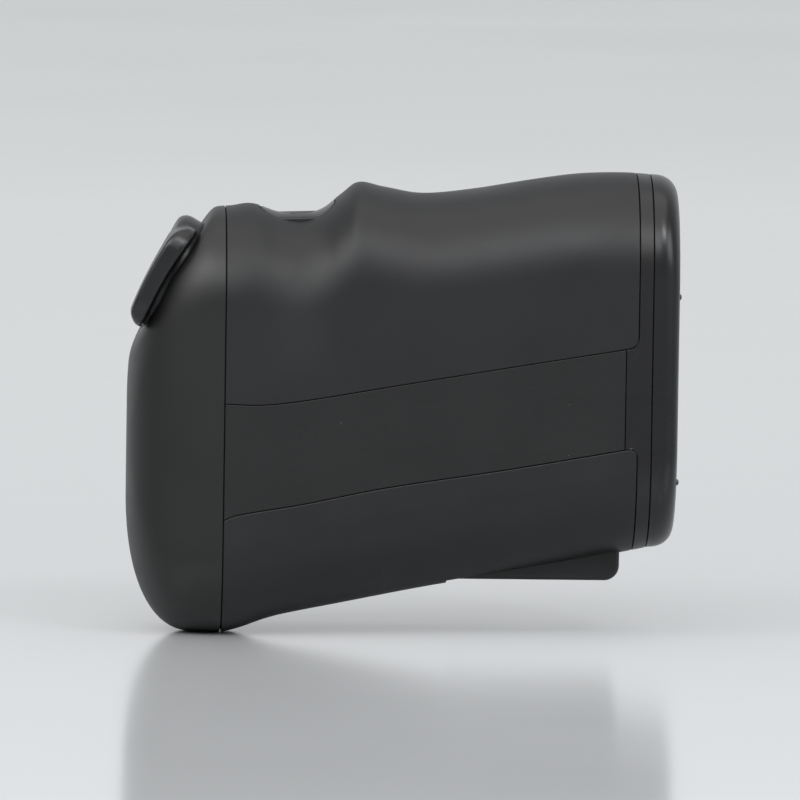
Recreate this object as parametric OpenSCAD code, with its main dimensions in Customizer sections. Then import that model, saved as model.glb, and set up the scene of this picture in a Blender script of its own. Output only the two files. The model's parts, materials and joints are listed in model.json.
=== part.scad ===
// Pocket laser rangefinder: black rubber-armoured monocular with a slanted eyecup.
// +X is the viewing direction, +Z is up, the firing button is on top.
// Origin: centre of the footprint, on the level of the lowest point of the rear bulge. Units: mm.

/* [Body] */
// front end of the bezel (mm ahead of the origin)
front_x = 48.65; // [44:0.05:55]
// rear end of the rear cover (mm, negative is behind the origin)
rear_x = -49.05; // [-55:0.05:-44]
// half of the body thickness
half_w = 17.5; // [14:0.1:21]
// joint line between the rear cover and the casing
rear_seam_x = -31.9; // [-36:0.1:-28]
// joint line between the casing and the front bezel
front_seam_x = 43.8; // [42:0.1:46]
// width of the open joint lines
seam_gap = 0.3; // [0.2:0.05:0.5]
// depth of the finger scallop that runs down the sides from the firing button
scallop = 1.0; // [0:0.1:2]

/* [Armour] */
// thickness of the rubber grips and of the textured side panels
grip_t = 1.2; // [0.8:0.1:2]
// front edge of the rubber grips
grip_front_x = 41.25; // [38:0.05:43]
// front edge of the textured side panels
panel_front_x = 39.1; // [36:0.05:41]
// wall thickness of the casing under the armour
wall = 1.9; // [1.5:0.1:3]
// wall thickness of the rear cover
cover_wall = 2.2; // [1.6:0.1:3]

/* [Eyepiece] */
// lean of the eyepiece face from the vertical (degrees)
eye_tilt = 30; // [20:1:40]
// centre of the eyepiece face along the body
eye_x = -41.75; // [-44:0.05:-38]
// height of the viewing axis
axis_z = 62.6; // [58:0.1:66]
// outer radius of the round part of the eyecup
cup_r = 11; // [10:0.1:12]
// shift of the round part towards the brow
cup_shift = 0.9; // [0:0.1:2]
// half width of the eyecup over its side shields
shield_y = 14.8; // [13:0.1:16]
// outer radius of the dioptre ring
dioptre_r = 8.5; // [7.5:0.1:9]

/* [Optics] */
// free radius of the viewing objective (7 x 21)
objective_r = 10.5; // [8:0.1:11]
// height of the receiver axis
receiver_z = 41.0; // [38:0.1:43]
// free radius of the receiver lens
receiver_r = 8.1; // [6:0.1:8.5]
// height of the emitter axis
emitter_z = 51; // [49:0.1:53]
// side offset of the emitter axis
emitter_y = 9.6; // [8:0.1:10]

/* [Battery] */
// radius of the CR2 cell
cell_r = 7.75; // [7.5:0.05:7.8]
// length of the CR2 cell
cell_l = 26.6; // [26:0.1:27]
// height of the cell axis
cell_z = 22.3; // [21:0.1:23]
// underside of the battery housing
foot_z = 10.25; // [9:0.05:12]
// front end of the battery housing
foot_x = 39.1; // [37:0.1:41]
// half width of the battery housing
foot_y = 9.4; // [9.2:0.1:10]
// half width of the battery door
door_y = 8.4; // [8.2:0.1:8.6]
// offset of the battery bay towards the left flank
bay_y = 3.4; // [0:0.1:4]

/* [Buttons] */
// centre of the firing button along the body
fire_x = -19; // [-22:0.1:-16]
// stroke of both buttons
stroke = 0.6; // [0.4:0.1:1]
// centre of the mode button along the body
mode_x = -12; // [-20:0.1:-4]
// height of the mode button
mode_z = 35.5; // [33:0.1:38]

/* [Hidden] */
$fn = 56;
eps = 0.02;      // working gap between parts that are glued or pressed together
run = 0.06;      // radial running clearance
inset = grip_t + wall;
ring_n = 32;     // points around one body section

// ---------- smooth curves ----------
function slope(k, i) = let (a = max(i - 1, 0), b = min(i + 1, len(k) - 1))
  (k[b][1] - k[a][1]) / (k[b][0] - k[a][0]);
function span(k, x, i = 0) = (i >= len(k) - 2 || x <= k[i + 1][0]) ? i : span(k, x, i + 1);
function curve(k, x) = let (xx = min(max(x, k[0][0]), k[len(k) - 1][0]), i = span(k, xx),
    w = k[i + 1][0] - k[i][0], t = (xx - k[i][0]) / w)
  (2 * t * t * t - 3 * t * t + 1) * k[i][1] + (t * t * t - 2 * t * t + t) * w * slope(k, i)
  + (3 * t * t - 2 * t * t * t) * k[i + 1][1] + (t * t * t - t * t) * w * slope(k, i + 1);
function round_off(u, p) = pow(max(1 - pow(min(max(u, 0), 1), p), 0), 1 / p);
function step01(t) = let (q = min(max(t, 0), 1)) q * q * (3 - 2 * q);

// ---------- outline of the body ----------
// crown: top line from the eyepiece hump over the finger groove and the ridge to the front
crown_k = [[-31.1, 76.1], [-27.2, 76.6], [-22.5, 75.2], [-18.3, 74.7], [-14.5, 75.9],
  [-11.2, 78.5], [-8.3, 80.6], [-4, 79.9], [3, 78.8], [11.7, 79.6], [23.1, 81.5],
  [31, 82.6], [38.8, 82.9], [44.4, 82.6]];
// keel: bottom line, low under the rear bulge and rising to the front
keel_k = [[-36.8, 0], [-31, 0.1], [-28, 0.9], [-24.5, 2.2], [-21, 3.2], [-10.4, 5.4],
  [3.8, 8.3], [18.1, 10.9], [32.3, 13.5], [44.4, 16]];
// lower border of the upper grip and upper border of the lower grip
upper_k = [[-32, 42.1], [-25.3, 42], [-18.2, 42.8], [-3.8, 45.3], [17.5, 49], [42, 53.1]];
lower_k = [[-32, 21.3], [-29.5, 22.3], [-17.9, 24.4], [-3.7, 27.4], [17.8, 30.9], [42, 35.2]];

nose_x = 44.4;                          // where the rounding of the front edge starts
function crown(x) = x < -31.1 ? 41 + 35.1 * round_off((-31.1 - x) / (-31.1 - rear_x), 2.2)
  : curve(crown_k, x) - 4 * (1 - round_off((x - nose_x) / (front_x - nose_x), 2.2));
function keel(x) = x < -36.8 ? 26 - 26 * round_off((-36.8 - x) / (-36.8 - rear_x), 2.3)
  : curve(keel_k, x) + 4 * (1 - round_off((x - nose_x) / (front_x - nose_x), 2.2));
function flank(x) = x < -26 ? half_w * round_off((-26 - x) / (-26 - rear_x), 2.6)
  : half_w - 0.3 * step01((x - 30) / 14)
    - 3.6 * (1 - round_off((x - nose_x) / (front_x - nose_x), 2.2));
function eye_plane(x) = axis_z + (x - eye_x) / tan(eye_tilt);

// one point of the body section at x, a = angle around the section, d = inset from the outside
function skin(x, a, d) = let (
    xx = x < -26 ? -26 - (-26 - x) * (-26 - rear_x) / (-26 - rear_x - d) : x,
    t = crown(xx) - d, b = keel(xx) + d, h = flank(xx) - d, r = min(16.5, (t - b) / 2),
    c = cos(a), s = sin(a), q = pow(abs(s), 0.94),
    z0 = s >= 0 ? t - r + r * q : b + r - r * q,
    z = min(z0, eye_plane(x) - d / sin(eye_tilt)),
    dip = scallop * exp(-pow((x + 20) / 6.5, 2)) * step01((z - 46) / 18),
    y = max(h - dip, 0.05) * sign(c) * pow(abs(c), 0.94))
  [x, y, z];

// half width of the section at height z
function side_y(x, z, d) = let (t = crown(x) - d, b = keel(x) + d, r = min(16.5, (t - b) / 2),
    q = z > t - r ? (z - t + r) / r : z < b + r ? (b + r - z) / r : 0, s = pow(min(q, 1), 1 / 0.94),
    dip = scallop * exp(-pow((x + 20) / 6.5, 2)) * step01((z - 46) / 18))
  (flank(x) - d - dip) * pow(max(1 - s * s, 0), 0.47);

function even(x0, x1, n) = [for (i = [0 : n]) x0 + (x1 - x0) * i / n];
function eased(x0, x1, n) = [for (i = [0 : n]) x0 + (x1 - x0) * pow(i / n, 1.9)];

// closed solid through the sections at xs, inset by d
module hull_form(xs, d) {
  n = ring_n; m = len(xs);
  pts = [for (x = xs, i = [0 : n - 1]) skin(x, 360 * i / n, d)];
  sides = [for (j = [0 : m - 2], i = [0 : n - 1]) let (a = j * n + i, b = j * n + (i + 1) % n)
    each [[a, a + n, b], [b, a + n, b + n]]];
  polyhedron(points = pts, faces = concat(sides,
    [[for (i = [0 : n - 1]) i]], [[for (i = [n - 1 : -1 : 0]) (m - 1) * n + i]]));
}
// closed sheet between an outer and an inner grid of points
module sheet(o, i) {
  m = len(o); n = len(o[0]); k = m * n;
  function quad(a, b, c, d) = [[a, b, c], [a, c, d]];
  polyhedron(points = concat([for (r = o) each r], [for (r = i) each r]), faces = concat(
    [for (j = [0 : m - 2], l = [0 : n - 2]) let (a = j * n + l) each quad(a, a + 1, a + n + 1, a + n)],
    [for (j = [0 : m - 2], l = [0 : n - 2]) let (a = k + j * n + l) each quad(a + n, a + n + 1, a + 1, a)],
    [for (j = [0 : m - 2]) let (a = j * n) each quad(a + n, a + n + k, a + k, a)],
    [for (j = [0 : m - 2]) let (a = j * n + n - 1) each quad(a, a + k, a + n + k, a + n)],
    [for (l = [0 : n - 2]) each quad(l + k, l + 1 + k, l + 1, l)],
    [for (l = [0 : n - 2]) let (a = k - n + l) each quad(a, a + 1, a + 1 + k, a + k)]));
}
// the same but evaluated as one mesh together with everything cut from it
module meshed() { resize([0, 0, 0]) children(); }
// slab through the full thickness, seen from the side
module slab(points, y0 = -30, y1 = 30) {
  translate([0, y1, 0]) rotate([90, 0, 0]) linear_extrude(y1 - y0) polygon(points);
}
module box(x0, x1, y0, y1, z0, z1) { translate([x0, y0, z0]) cube([x1 - x0, y1 - y0, z1 - z0]); }
// cylinder or tube along X
module rod(x0, x1, y, z, r) { translate([x0, y, z]) rotate([0, 90, 0]) cylinder(h = x1 - x0, r = r); }
module pipe(x0, x1, y, z, ro, ri) {
  difference() { rod(x0, x1, y, z, ro); rod(x0 - 1, x1 + 1, y, z, ri); }
}
// lens on an axis along X; s0 and s1 are the bulges of its rear and front faces
module lens(x0, x1, y, z, r, s0, s1) {
  n = 8;
  translate([0, y, z]) rotate([0, 90, 0]) rotate_extrude() polygon(concat(
    [for (i = [0 : n]) [r * i / n, x0 - s0 * (1 - pow(i / n, 2))]],
    [for (i = [n : -1 : 0]) [r * i / n, x1 + s1 * (1 - pow(i / n, 2))]]));
}
// the battery bay's own middle plane
module in_bay() { translate([0, bay_y, 0]) children(); }
module on_eye() { translate([eye_x, 0, axis_z]) rotate([0, -(90 - eye_tilt), 0]) children(); }

// ---------- shell ----------
armour_x = even(rear_seam_x + seam_gap / 2, grip_front_x - 1.5, 15);
casing_x = concat(armour_x, [front_seam_x - seam_gap / 2]);
grip_x = concat(armour_x, [for (a = [30, 60, 90]) grip_front_x - 1.5 + 1.5 * sin(a)]);

// height of the grip border at x, with the rounded front corner; up is +1 or -1, g is a gap
function corner_rise(x) = let (u = (x - grip_front_x + 1.5) / 1.5) u > 0 ? 1.5 * (1 - sqrt(max(1 - u * u, 0))) : 0;
function grip_edge(x, up, g) = curve(up > 0 ? upper_k : lower_k, x) + up * (g + corner_rise(x));
// points across one grip at x: up the far side, over the top (or bottom), down the near side
function grip_row(x, up, d) = let (z = grip_edge(x, up, 0.12), r = 16.5,
    z1 = up > 0 ? crown(x) - d - r : keel(x) + d + r, na = 16)
  concat([for (j = [0 : 2]) let (h = z + (z1 - z) * j / 3) [x, side_y(x, h, d), h]],
    [for (j = [0 : na]) skin(x, up * (0.001 + 179.998 * j / na), d)],
    [for (j = [2 : -1 : 0]) let (h = z + (z1 - z) * j / 3) [x, -side_y(x, h, d), h]]);
module grip_form(up) {
  o = [for (x = grip_x) grip_row(x, up, 0)]; i = [for (x = grip_x) grip_row(x, up, grip_t - eps)];
  if (up > 0) sheet(i, o); else sheet(o, i);
}
// plate of the side band at y = side * half width, between the grips
module band(xs, side, d0, d1, g) {
  function row(x, d) = [for (j = [0 : 3]) let (za = grip_edge(x, -1, -g), zb = grip_edge(x, 1, -g),
    h = za + (zb - za) * j / 3) [x, side * side_y(x, h, d), h]];
  o = [for (x = xs) row(x, d0)]; i = [for (x = xs) row(x, d1)];
  if (side > 0) sheet(i, o); else sheet(o, i);
}
module foot(x0, x1, y, z0, r) {     // rounded block of the battery housing
  slab([[x0, z0], [x1 - r, z0], for (a = [22.5 : 22.5 : 67.5]) [x1 - r + r * sin(a), z0 + r - r * cos(a)],
    [x1, z0 + r], [x1, 24], [x0, 24]], bay_y - y, bay_y + y);
}
module fire_column(g, z0, z1) {     // outline of the firing button, grown by g
  translate([fire_x, 0, z0]) linear_extrude(z1 - z0) offset(r = 3 + g, $fn = 24) square([7, 5], center = true);
}

cover_bolts = [[11.2, 19], [-11.2, 19], [11.2, 52], [-11.2, 52]];
chassis_bolts = [[9.2, 73.5], [-9.2, 73.5], [11.8, 34.5], [-11.8, 34.5]];
pins = [[12.7, 61.7], [-12.7, 61.7], [12.7, 28.7], [-12.7, 28.7]];
board_bolts = [[-25, 44], [3, 44], [-25, 27], [3, 30]];

module main_casing() color([0.10, 0.10, 0.11]) meshed() {
  x1 = front_seam_x - seam_gap / 2; m = len(casing_x);
  difference() {
    union() {
      difference() {
        union() {
          hull_form(casing_x, grip_t);
          // rim in front of the armour and the plain strips behind it
          hull_form([grip_front_x + 0.25, x1], 0);
          for (s = [-1, 1]) band(even(panel_front_x + 0.2, grip_front_x + 0.4, 3), s, 0, grip_t + 0.2, 0.15);
          // battery housing under the front half
          foot(8.4, foot_x, foot_y, foot_z, 2.7);
        }
        hull_form(concat([casing_x[0] - 1], [for (i = [1 : m - 2]) casing_x[i]], [x1 + 1]), inset);
        in_bay() box(8.8, foot_x - 1.2, -door_y - 0.35, door_y + 0.35, foot_z - 5, cell_z - 1.5);
      }
      // bosses for the cover screws, the chassis screws and the boards
      for (p = cover_bolts) let (s = sign(p[0]))
        box(-31.6, -28.2, min(s * 8.7, s * 15.1), max(s * 8.7, s * 15.1), p[1] - 3, p[1] + 3);
      for (p = chassis_bolts) let (s = sign(p[0]), y = p[1] > 60 ? 11.6 : 15.1) {
        rod(29, 37.9, p[0], p[1], 2.3, $fn = 20);
        box(29.3, 37.7, min(s * (y - 3.2), s * y), max(s * (y - 3.2), s * y), p[1] - 1.3, p[1] + 1.3);
      }
      for (s = [-1, 1], p = board_bolts) translate([p[0], s * 12, p[1]]) rotate([-90 * s, 0, 0])
        cylinder(h = 3.3, r = 1.9, $fn = 16);
    }
    for (p = cover_bolts) rod(-33, -27, p[0], p[1], 1.15, $fn = 16);
    for (p = chassis_bolts) rod(31, 40, p[0], p[1], 0.82, $fn = 16);
    for (s = [-1, 1], p = board_bolts) translate([p[0], s * 11, p[1]]) rotate([-90 * s, 0, 0])
      cylinder(h = 4, r = 0.7, $fn = 12);
    // well of the firing button, opening of the mode button, lanyard pocket
    fire_column(0.35, 69, 90);
    translate([mode_x, 20, mode_z]) rotate([90, 0, 0]) cylinder(h = 8, r = 3.55, $fn = 28);
    box(-27.1, -19.9, 12.9, 20, 16.9, 22.3);
    // detent slot for the nose of the catch, holes for the hinge pin
    in_bay() box(foot_x - 2, foot_x - 0.35, -2.3, 2.3, 5, 13.2);
    // seat of the battery cradle
    in_bay() rod(6, 38.05, 0, cell_z, cell_r + 1, $fn = 48);
    in_bay() translate([pin_x, 12, pin_z]) rotate([90, 0, 0]) cylinder(h = 24, r = 0.5 + eps, $fn = 16);
  }
}

module upper_grip() color([0.07, 0.07, 0.075]) meshed() difference() {
  grip_form(1);
  fire_column(0.35, 69, 90);
}
module lower_grip() color([0.07, 0.07, 0.075]) meshed() difference() {
  grip_form(-1);
  in_bay() box(8.25, foot_x + 0.15, -foot_y - 0.15, foot_y + 0.15, -5, 25);
  box(-27.1, -19.9, 12.9, 20, 16.9, 22.3);
}
panel_x = even(rear_seam_x + seam_gap / 2, panel_front_x, 10);
module side_panel_right() color([0.13, 0.13, 0.135]) band(panel_x, -1, 0.15, grip_t - eps, 0.15);
module side_panel_left() color([0.13, 0.13, 0.135]) meshed() difference() {
  band(panel_x, 1, 0.15, grip_t - eps, 0.15);
  translate([mode_x, 20, mode_z]) rotate([90, 0, 0]) cylinder(h = 8, r = 3.55, $fn = 28);
}

module rear_cover() color([0.09, 0.09, 0.10]) meshed() {
  x1 = rear_seam_x - seam_gap / 2;
  difference() {
    union() {
      difference() {
        hull_form(eased(rear_x + 0.02, x1, 12), 0);
        hull_form(concat(eased(rear_x + cover_wall + 0.02, x1 - 1, 9), [x1 + 1]), cover_wall);
      }
      for (p = cover_bolts) rod(-38, x1, p[0], p[1], 3.1, $fn = 24);
      // collar that guides the dioptre ring
      difference() {
        rod(-41, -36, 0, axis_z, dioptre_r + 1.6, $fn = 40);
        on_eye() translate([-30, -30, -0.8]) cube([60, 60, 20]);
      }
    }
    rod(-60, -30, 0, axis_z, dioptre_r + run, $fn = 48);
    for (p = cover_bolts) rod(-36, -30, p[0], p[1], 0.85, $fn = 16);
  }
}
module rear_gasket() color([0.05, 0.05, 0.05]) meshed() {
  x0 = rear_seam_x - seam_gap / 2 + eps; x1 = rear_seam_x + seam_gap / 2 - eps;
  difference() { hull_form([x0, x1], 1.5); hull_form([x0 - 0.5, x1 + 0.5], 2.9); }
}

module bezel_bores() {
  for (w = [[0, axis_z, objective_r - 0.2], [0, receiver_z, receiver_r],
            [emitter_y, emitter_z, 2.5]]) {
    rod(40, 50, w[0], w[1], w[2], $fn = 40);
    rod(40, 47.4, w[0], w[1], w[2] + 0.5, $fn = 40);
  }
}
module front_bezel() color([0.08, 0.08, 0.09]) meshed() {
  x0 = front_seam_x + seam_gap / 2;
  difference() {
    hull_form([x0, nose_x, 45.7, 46.8, 47.6, 48.15, 48.5, front_x], 0);
    hull_form([x0 - 1, 45.6], 2.0);
    bezel_bores();
    for (p = pins) rod(40, 50, p[0], p[1], 0.6, $fn = 16);
  }
}
module front_gasket() color([0.05, 0.05, 0.05]) meshed() {
  x0 = front_seam_x - seam_gap / 2 + eps; x1 = front_seam_x + seam_gap / 2 - eps;
  difference() { hull_form([x0, x1], 1.0); hull_form([x0 - 0.5, x1 + 0.5], 1.9); }
}
module window(y, z, r) { rod(46.1, 47.4 - eps, y, z, r + 0.44); }
module view_window() color([0.45, 0.35, 0.55, 0.5]) window(0, axis_z, objective_r - 0.2);
module receiver_window() color([0.45, 0.2, 0.25, 0.5]) window(0, receiver_z, receiver_r);
module emitter_window() color([0.35, 0.1, 0.15, 0.5]) window(emitter_y, emitter_z, 2.5);
module bezel_pins() color([0.2, 0.2, 0.21]) {
  for (p = pins) { rod(44.2, front_x + 0.15, p[0], p[1], 0.55);
    translate([front_x + 0.15, p[0], p[1]]) rotate([0, 90, 0]) cylinder(h = 0.2, r1 = 0.55, r2 = 0.3); }
}
module screw(x_head, x_tip, y, z, r) {   // cheese-head screw along X with a cross recess
  d = sign(x_tip - x_head);
  difference() {
    union() {
      rod(min(x_head, x_head + d * 1.3), max(x_head, x_head + d * 1.3), y, z, 1.9 * r);
      rod(min(x_head, x_tip), max(x_head, x_tip), y, z, r);
    }
    for (a = [0, 90]) translate([x_head, y, z]) rotate([a, 0, 0])
      cube([1.2, 0.45, 2.1 * r], center = true);
  }
}
module cover_screws() color([0.6, 0.6, 0.62]) {
  for (p = cover_bolts) screw(-28.2 + 1.3 + eps, -35.5, p[0], p[1], 0.85 - eps);
}

// ---------- optics ----------
front_plate_x = 38; plate_t = 2.6;
module optical_chassis() color([0.5, 0.5, 0.52]) {
  difference() {
    union() {
      // front bulkhead
      translate([front_plate_x, 0, 0]) rotate([90, 0, 90]) linear_extrude(plate_t) hull() {
        translate([0, axis_z]) circle(r = 12.9);
        for (p = chassis_bolts) translate([p[0] * 0.94, p[1]]) circle(r = 2);
        translate([0, 38]) circle(r = 6);
      }
      // rear bulkhead
      translate([-28.1, 0, 0]) rotate([90, 0, 90]) linear_extrude(2.3) hull() {
        translate([0, axis_z]) circle(r = 9.6);
        for (s = [-1, 1]) translate([s * 10.5, 53.2]) circle(r = 2);
      }
      // side rails and tie plate
      for (s = [-1, 1]) box(-27, front_plate_x + 1, s * 11.8 - 0.9, s * 11.8 + 0.9, 51.2, 55.4);
      box(-24, 14, -11.5, 11.5, 49.9, 51.4);
    }
    rod(30, 50, 0, axis_z, objective_r + 1.0);
    rod(30, 50, 0, receiver_z, receiver_r + 0.8);
    rod(30, 50, emitter_y, emitter_z, 3.2);
    rod(-30, -20, 0, axis_z, dioptre_r - 0.9);
    for (p = chassis_bolts) rod(30, 50, p[0], p[1], 1.05);
    for (p = cover_bolts) rod(-30, -26.6, p[0], p[1], 2);
    // the emitter tube passes the left rail
    rod(14, 40, emitter_y, emitter_z, 3.5);
  }
}
module chassis_screws() color([0.6, 0.6, 0.62]) {
  for (p = chassis_bolts) screw(front_plate_x + plate_t + 1.3 + eps, 32.5, p[0], p[1], 0.82 - eps);
}
module objective_barrel() color([0.12, 0.12, 0.13]) difference() {
  union() {
    rod(19, 43, 0, axis_z, objective_r + 1.0 - eps);
    rod(41, 42.2, 0, axis_z, objective_r + 1.2);
  }
  rod(18, 37, 0, axis_z, objective_r - 0.6);
  rod(36.99, 44, 0, axis_z, objective_r + eps);
}
module objective_lens() color([0.4, 0.3, 0.5, 0.5]) lens(37.2, 39.6, 0, axis_z, objective_r, -0.1, 1.4);
module objective_ring() color([0.15, 0.15, 0.16]) difference() {
  rod(41.2, 42.6, 0, axis_z, objective_r - eps);
  rod(41, 43, 0, axis_z, objective_r - 1.1);
  for (a = [0, 90]) translate([42.6, 0, axis_z]) rotate([a, 0, 0]) cube([1.0, 0.8, 24], center = true);
}
module prism_housing() color([0.25, 0.25, 0.27]) difference() {
  translate([-9, 0, 0]) rotate([90, 0, 90]) linear_extrude(26.5) polygon([[-10.2, 51.6],
    [10.2, 51.6], [10.2, 71], [7.9, 73.6], [-7.9, 73.6], [-10.2, 71]]);
  box(-7.6, 16.1, -9.2, 9.2, 53, 80);
  rod(-12, 20, 0, axis_z, 6.2);
  rod(10, 20, 0, axis_z, 8.8);
}
module prism_front() color([0.75, 0.8, 0.85, 0.5])
  slab([[5.4, 53.4], [15.4, 53.4], [15.4, 72.6], [13.4, 72.6]], -8.8, 8.8);
module prism_rear() color([0.75, 0.8, 0.85, 0.5])
  slab([[-7, 54.6], [4, 53.4], [11.6, 72.0], [-7, 66]], -8.8, 8.8);
module reticle_display() color([0.3, 0.32, 0.3]) difference() {
  box(-12.4, -11, -6, 6, axis_z - 6.4, axis_z + 5.2);
  rod(-13, -11.7, 0, axis_z, 4.2);
}
module eyepiece_tube() color([0.12, 0.12, 0.13]) difference() {
  union() {
    rod(-38.4, -25.4, 0, axis_z, dioptre_r - 0.9 - eps);
    rod(-26, -10.2, 0, axis_z, 5.2);
    box(-13.2, -9.4, -7, 7, axis_z - 7.6, axis_z + 6);
  }
  rod(-40, -25.9, 0, axis_z, dioptre_r - 1.5);
  rod(-27, -8, 0, axis_z, 4.3);
  box(-12.5, -10.9, -6.1, 6.1, axis_z - 6.5, axis_z + 9);
  // key slot of the ocular carrier
  box(-40, -26.4, -1, 1, axis_z - 9, axis_z);
}
module ocular_carrier() color([0.14, 0.14, 0.15]) difference() {
  union() {
    rod(-37.4, -27.2, 0, axis_z, dioptre_r - 1.5 - run);
    box(-36, -29, -0.85, 0.85, axis_z - dioptre_r + 1.05, axis_z - 5.5);
  }
  rod(-36.6, -31.4, 0, axis_z, 6.2 + eps);
  rod(-40, -24, 0, axis_z, 5.6);
  rod(-29.6, -24, 0, axis_z, 6.0 + eps);
}
module ocular_lens() color([0.4, 0.35, 0.55, 0.5]) lens(-36.2, -33.4, 0, axis_z, 6.2, 0.5, 0.9);
module field_lens() color([0.4, 0.35, 0.55, 0.5]) lens(-29.4, -27.6, 0, axis_z, 6.0, 0.2, 0.6);
module dioptre_ring() color([0.08, 0.08, 0.085]) difference() {
  union() {
    rod(-40, -32.5, 0, axis_z, dioptre_r);
    for (a = [0 : 60 : 300]) translate([0, 0, axis_z]) rotate([a + 30, 0, 0])
      translate([-40.5, 0, 7.5]) rotate([0, 90, 0]) cylinder(h = 1, r = 0.6, $fn = 24);
  }
  rod(-39.2, -30, 0, axis_z, dioptre_r - 0.9 + run);
  rod(-42, -38, 0, axis_z, 6.4);
}
// side shield between an outer arc and an arched underside, within the span ts along the slope
module shield(side, outer, under, ts) {
  on_eye() intersection() {
    rotate([90, 0, 0]) linear_extrude(31, center = true) difference() {
      translate(outer) circle(r = 20);
      translate(under) circle(r = 28);
      translate([-30, -60]) square([60, 60.3]);
    }
    translate([0, 0, -1]) linear_extrude(8) offset(r = 5)
      translate([(ts[0] + ts[1]) / 2, side * (shield_y - 6.2)]) square([ts[1] - ts[0] - 10, 2.4], center = true);
  }
}
module eyecup() color([0.06, 0.06, 0.065]) difference() {
  union() {
    // round part, thicker towards the brow
    on_eye() difference() {
      translate([cup_shift, 0, 0]) rotate_extrude() polygon([[4, eps], [cup_r - 0.5, eps], [cup_r, 0.6],
        [cup_r, 2.7], [cup_r - 0.5, 3.6], [cup_r - 1.6, 4.3], [4, 4.6]]);
      translate([8, 0, 4]) rotate([0, -7, 0]) translate([-40, -20, 0]) cube([60, 40, 10]);
    }
    // arched shield on the temple side, and a lower one beside the nose
    shield(-1, [0.8, -15.8], [0.2, -26.1], [-9.3, 10.6]);
    shield(1, [5, -17.4], [5, -60], [-6, 10.6]);
  }
  rod(-60, -30, 0, axis_z, dioptre_r + 0.3);
}

// ---------- ranging electronics ----------
module receiver_barrel() color([0.12, 0.12, 0.13]) difference() {
  rod(12, 42.4, 0, receiver_z, receiver_r + 0.8 - eps);
  rod(11, 36, 0, receiver_z, receiver_r - 0.7);
  rod(35.99, 44, 0, receiver_z, receiver_r + eps);
}
module receiver_lens() color([0.5, 0.2, 0.25, 0.5]) lens(36.2, 38.6, 0, receiver_z, receiver_r, 0.1, 1.5);
module detector() color([0.7, 0.68, 0.6]) difference() {
  union() { rod(6.6, 10.4, 0, receiver_z, 4.1); rod(6.6, 7.2, 0, receiver_z, 4.6); }
  rod(10.1, 11, 0, receiver_z, 2.6);
}
module detector_board() color([0.1, 0.3, 0.18]) union() {
  box(5.2, 6.6 - eps, -7.5, 7.5, 33, 49);
  box(4.2, 5.2, -5, -1, 36, 40); box(4.0, 5.2, 2, 5, 42, 46);
}
module emitter_barrel() color([0.12, 0.12, 0.13]) difference() {
  rod(20, 43, emitter_y, emitter_z, 3.2 - eps);
  rod(24, 38, emitter_y, emitter_z, 2.2);
  rod(37.99, 44, emitter_y, emitter_z, 2.5 + eps);
  rod(19, 24.01, emitter_y, emitter_z, 2.8 + eps);
}
module emitter_lens() color([0.4, 0.2, 0.3, 0.5]) lens(38.4, 40, emitter_y, emitter_z, 2.5, 0.1, 0.6);
module laser_diode() color([0.75, 0.65, 0.35]) union() {
  rod(20.4, 21.6, emitter_y, emitter_z, 2.8);
  rod(21.5, 23.4, emitter_y, emitter_z, 1.9);
  for (a = [0, 120, 240]) translate([0, emitter_y, emitter_z]) rotate([a, 0, 0])
    rod(17.7, 20.5, 0, 1.2, 0.22);
}
module main_board() color([0.1, 0.3, 0.18]) difference() {
  union() {
    box(-28, 5, 10.6, 12 - eps, 25, 46.5);
    box(-22, -14, 9.1, 10.6, 36, 44); box(-10, -3, 9.4, 10.6, 27, 34);
    box(-24, -19, 9.6, 10.6, 28, 32); box(-6, 1, 8.6, 10.6, 38, 42);
  }
  for (p = board_bolts) translate([p[0], 14, p[1]]) rotate([90, 0, 0]) cylinder(h = 6, r = 0.95, $fn = 32);
}
module power_board() color([0.1, 0.3, 0.18]) difference() {
  union() {
    box(-28, 5, -12 + eps, -10.6, 25, 46.5);
    box(-20, -12, -10.6, -6.6, 30, 38); box(-8, -3, -10.6, -7.2, 36, 41);
    translate([-22.5, -6, 40]) rotate([90, 0, 0]) cylinder(h = 4.6, r = 2.5);
  }
  for (p = board_bolts) translate([p[0], -8, p[1]]) rotate([90, 0, 0]) cylinder(h = 6, r = 0.95, $fn = 32);
}
module board_screws() color([0.6, 0.6, 0.62]) {
  for (s = [-1, 1], p = board_bolts) translate([p[0], s * 10.58, p[1]]) rotate([-90 * s, 0, 0])
    difference() {
      union() { translate([0, 0, -1]) cylinder(h = 1, r = 1.5, $fn = 32); cylinder(h = 3.6, r = 0.7 - eps, $fn = 24); }
      for (a = [0, 90]) rotate([0, 0, a]) translate([0, 0, -1]) cube([1.8, 0.35, 0.8], center = true);
    }
}
module flex_ribbon() color([0.75, 0.45, 0.15]) union() {
  box(-21, -15, -10.4, 10.4, 47.4, 47.6);
  for (s = [-1, 1]) box(-21, -15, s * 10.4 - 0.1, s * 10.4 + 0.1, 44.4, 47.6);
}

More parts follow.
